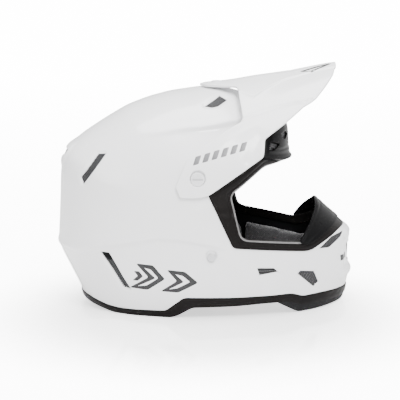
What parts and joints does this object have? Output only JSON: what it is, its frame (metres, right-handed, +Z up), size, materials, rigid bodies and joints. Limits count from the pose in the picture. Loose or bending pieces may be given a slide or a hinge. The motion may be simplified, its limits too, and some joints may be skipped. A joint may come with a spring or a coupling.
{
  "type": "off-road motorcycle helmet",
  "caption": "Full-face off-road helmet with an open eyeport, long peaked visor, protruding chin bar, rubber edge trims, vent screens, removable padding and a D-ring chin strap.",
  "frame": {"origin": "on the plane the helmet rests on, under the middle of its bounding box", "axes": "+X towards the front of the helmet, +Y towards the wearer's left, +Z up"},
  "size_m": [0.3504, 0.2636, 0.2841],
  "materials": {
    "shell_white": "gloss clear coat over white",
    "screw_white": "satin moulded nylon",
    "black_gloss": "semi-gloss moulded rubber-edged plastic",
    "black_plastic": "fine moulded texture",
    "black_rubber": "matte",
    "damper_rubber": "matte",
    "screen_grey": "matte",
    "foam_grey": "moulded bead foam",
    "fabric_black": "brushed knit",
    "webbing_black": "woven",
    "tab_red": "woven tape",
    "steel": "plated steel"
  },
  "bodies": {
    "shell": {"outer_shell": "shell_white", "eyeport_trim": "black_gloss", "nose_guard": "black_gloss", "brow_vent_housing": "black_gloss", "base_trim": "black_gloss", "chin_bar_bottom_pad": "black_rubber", "brow_vent_screen": "screen_grey", "crown_vent_screen_left": "screen_grey", "crown_vent_screen_right": "screen_grey", "rear_upper_vent_screen_left": "screen_grey", "rear_upper_vent_screen_right": "screen_grey", "rear_lower_vent_screen_left": "screen_grey", "rear_lower_vent_screen_right": "screen_grey", "cheek_vent_screen_left": "screen_grey", "cheek_vent_screen_right": "screen_grey", "jaw_vent_screen_left": "screen_grey", "jaw_vent_screen_right": "screen_grey", "rear_exhaust_screen": "screen_grey", "jaw_slot_louvre_left": "black_plastic", "jaw_slot_louvre_right": "black_plastic", "chin_vent_grille": "black_plastic", "cheek_snap_sockets": "black_plastic", "outer_liner": "foam_grey", "chin_bar_liner": "foam_grey", "neck_roll": "fabric_black", "isolation_dampers": "damper_rubber", "visor_side_nuts": "steel", "strap_rivets": "steel"},
    "inner_liner": {"inner_liner": "foam_grey", "comfort_liner": "fabric_black"},
    "visor": {"visor_peak": "shell_white", "visor_top_nut": "steel"},
    "visor_screw_left": {"visor_screw_left": "screw_white"},
    "visor_screw_right": {"visor_screw_right": "screw_white"},
    "cheek_pad_left": {"cheek_pad_left": "fabric_black", "cheek_pad_plate_left": "black_plastic", "cheek_snap_studs_left": "steel", "pull_tab_left": "tab_red"},
    "cheek_pad_right": {"cheek_pad_right": "fabric_black", "cheek_pad_plate_right": "black_plastic", "cheek_snap_studs_right": "steel", "pull_tab_right": "tab_red"},
    "strap_left": {"strap_left": "webbing_black", "strap_anchor_left": "steel"},
    "strap_right": {"strap_right": "webbing_black", "strap_anchor_right": "steel", "strap_keeper": "steel"},
    "d_ring_inner": {"d_ring_inner": "steel"},
    "d_ring_outer": {"d_ring_outer": "steel"},
    "visor_screw_top": {"visor_screw_top": "screw_white"}
  },
  "joints": [
    {"name": "visor_tilt", "type": "hinge", "parent": "shell", "child": "visor", "pos_m": [-0.0085, 0, 0.1645], "axis": [0, -1, 0], "range_deg": [0, 7]},
    {"name": "visor_screw_left_turn", "type": "hinge", "parent": "shell", "child": "visor_screw_left", "pos_m": [-0.0085, 0.1276, 0.1645], "axis": [0, 1, 0], "continuous": true},
    {"name": "visor_screw_right_turn", "type": "hinge", "parent": "shell", "child": "visor_screw_right", "pos_m": [-0.0085, -0.1276, 0.1645], "axis": [0, -1, 0], "continuous": true},
    {"name": "visor_screw_top_turn", "type": "hinge", "parent": "visor", "child": "visor_screw_top", "pos_m": [0.014, 0, 0.255], "axis": [0, 0, 1], "continuous": true},
    {"name": "inner_liner_yaw", "type": "hinge", "parent": "shell", "child": "inner_liner", "pos_m": [-0.038, 0, 0.13], "axis": [0, 0, 1], "range_deg": [-3, 3], "stiffness_Nm_per_rad": 2},
    {"name": "cheek_pad_left_unsnap", "type": "slide", "parent": "shell", "child": "cheek_pad_left", "axis": [0, -1, 0], "range_m": [0, 0.03]},
    {"name": "cheek_pad_right_unsnap", "type": "slide", "parent": "shell", "child": "cheek_pad_right", "axis": [0, 1, 0], "range_m": [0, 0.03]},
    {"name": "strap_left_swing", "type": "hinge", "parent": "shell", "child": "strap_left", "pos_m": [0.0076, 0.118, 0.074], "axis": [0, 1, 0], "range_deg": [-7, 7]},
    {"name": "strap_right_swing", "type": "hinge", "parent": "shell", "child": "strap_right", "pos_m": [0.0076, -0.118, 0.074], "axis": [0, 1, 0], "range_deg": [-10, 10]},
    {"name": "d_ring_inner_swing", "type": "hinge", "parent": "strap_left", "child": "d_ring_inner", "pos_m": [0.0076, 0.1009, 0.0322], "axis": [-1, 0, 0], "range_deg": [-3, 55]},
    {"name": "d_ring_outer_swing", "type": "hinge", "parent": "strap_left", "child": "d_ring_outer", "pos_m": [0.0076, 0.1051, 0.0322], "axis": [-1, 0, 0], "range_deg": [-1, 20]}
  ],
  "couplings": [
    {"joint": "d_ring_outer_swing", "follows": "d_ring_inner_swing", "ratio": 0.3333}
  ]
}
